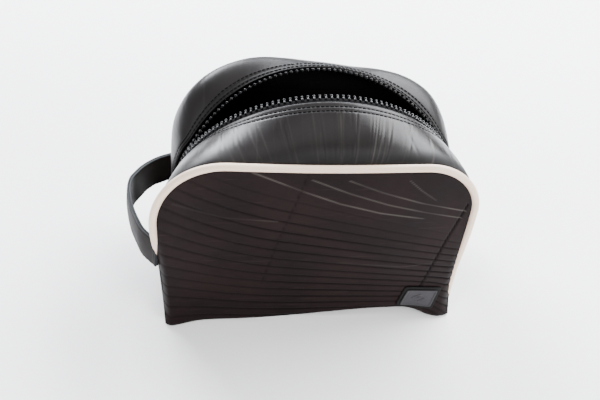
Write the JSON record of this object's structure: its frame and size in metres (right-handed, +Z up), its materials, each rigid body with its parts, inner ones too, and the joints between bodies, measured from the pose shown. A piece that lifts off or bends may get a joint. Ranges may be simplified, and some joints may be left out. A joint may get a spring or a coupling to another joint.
{
  "type": "shaving kit bag",
  "caption": "Soft rubber wash bag with a rounded front, cream piping, an arched zip top standing open, a side grab handle and a small plain label.",
  "frame": {"origin": "centre of the base, on the surface the bag stands on", "axes": "+X to the right along the bag, +Y to the back, +Z up; the front panel with the label faces -Y"},
  "size_m": [0.271, 0.1308, 0.1803],
  "materials": {
    "tube_rubber": "semi-gloss, worn inner-tube rubber with fine moulded lines",
    "piping_cream": "smooth cream vinyl",
    "piping_cord": "white extruded cord",
    "zip_tape": "black woven polyester tape",
    "zip_teeth": "black moulded acetal",
    "slider_metal": "black enamel on die-cast zinc",
    "pull_rubber": "matt rubber",
    "strap_rubber": "semi-gloss strap rubber, grey cut edges",
    "label_rubber": "black rubber patch",
    "label_face": "grey embossed plate",
    "lining": "black nylon lining",
    "board": "black stiffener board"
  },
  "bodies": {
    "bag": {"front_panel": "tube_rubber", "back_panel": "tube_rubber", "base_panel": "tube_rubber", "left_gusset": "tube_rubber", "right_gusset": "tube_rubber", "front_top_strip": "tube_rubber", "back_top_strip": "tube_rubber", "left_zip_tab": "tube_rubber", "right_zip_tab": "tube_rubber", "front_piping": "piping_cream", "back_piping": "piping_cream", "front_piping_cord": "piping_cord", "back_piping_cord": "piping_cord", "left_tail_tape": "zip_tape", "right_tail_tape": "zip_tape", "left_tail_teeth": "zip_teeth", "right_tail_teeth": "zip_teeth", "zip_bottom_stop": "zip_teeth", "zip_top_stops": "zip_teeth", "handle_outer": "strap_rubber", "handle_inner": "strap_rubber", "label_patch": "label_rubber", "label_plate": "label_face", "front_lining": "lining", "back_lining": "lining", "left_lining": "lining", "right_lining": "lining", "base_lining": "lining", "base_board": "board"},
    "front_lip": {"front_zip_tape": "zip_tape", "front_zip_teeth": "zip_teeth"},
    "back_lip": {"back_zip_tape": "zip_tape", "back_zip_teeth": "zip_teeth"},
    "slider": {"zip_slider": "slider_metal"},
    "pull": {"pull_link": "slider_metal", "pull_tab": "pull_rubber"}
  },
  "joints": [
    {"name": "zip_travel", "type": "hinge", "parent": "bag", "child": "slider", "pos_m": [0.008, 0, 0.0686], "axis": [0, 1, 0], "range_deg": [-150, 0], "deforming": ["front_zip_tape", "front_zip_teeth", "back_zip_tape", "back_zip_teeth", "left_tail_tape", "left_tail_teeth", "right_tail_tape", "right_tail_teeth"]},
    {"name": "front_lip_fold", "type": "hinge", "parent": "bag", "child": "front_lip", "pos_m": [0.008, 0, 0.1204], "axis": [1, 0, 0], "range_deg": [-15, 0], "deforming": ["front_top_strip"]},
    {"name": "back_lip_fold", "type": "hinge", "parent": "bag", "child": "back_lip", "pos_m": [0.008, 0, 0.1204], "axis": [1, 0, 0], "range_deg": [0, 34.5], "deforming": ["back_top_strip"]},
    {"name": "pull_swing", "type": "hinge", "parent": "slider", "child": "pull", "pos_m": [0.12082, 0, 0.09883], "axis": [0, 1, 0], "range_deg": [-170, 0]}
  ],
  "couplings": [
    {"joint": "front_lip_fold", "follows": "zip_travel", "ratio": 0.1},
    {"joint": "back_lip_fold", "follows": "zip_travel", "ratio": -0.23}
  ]
}
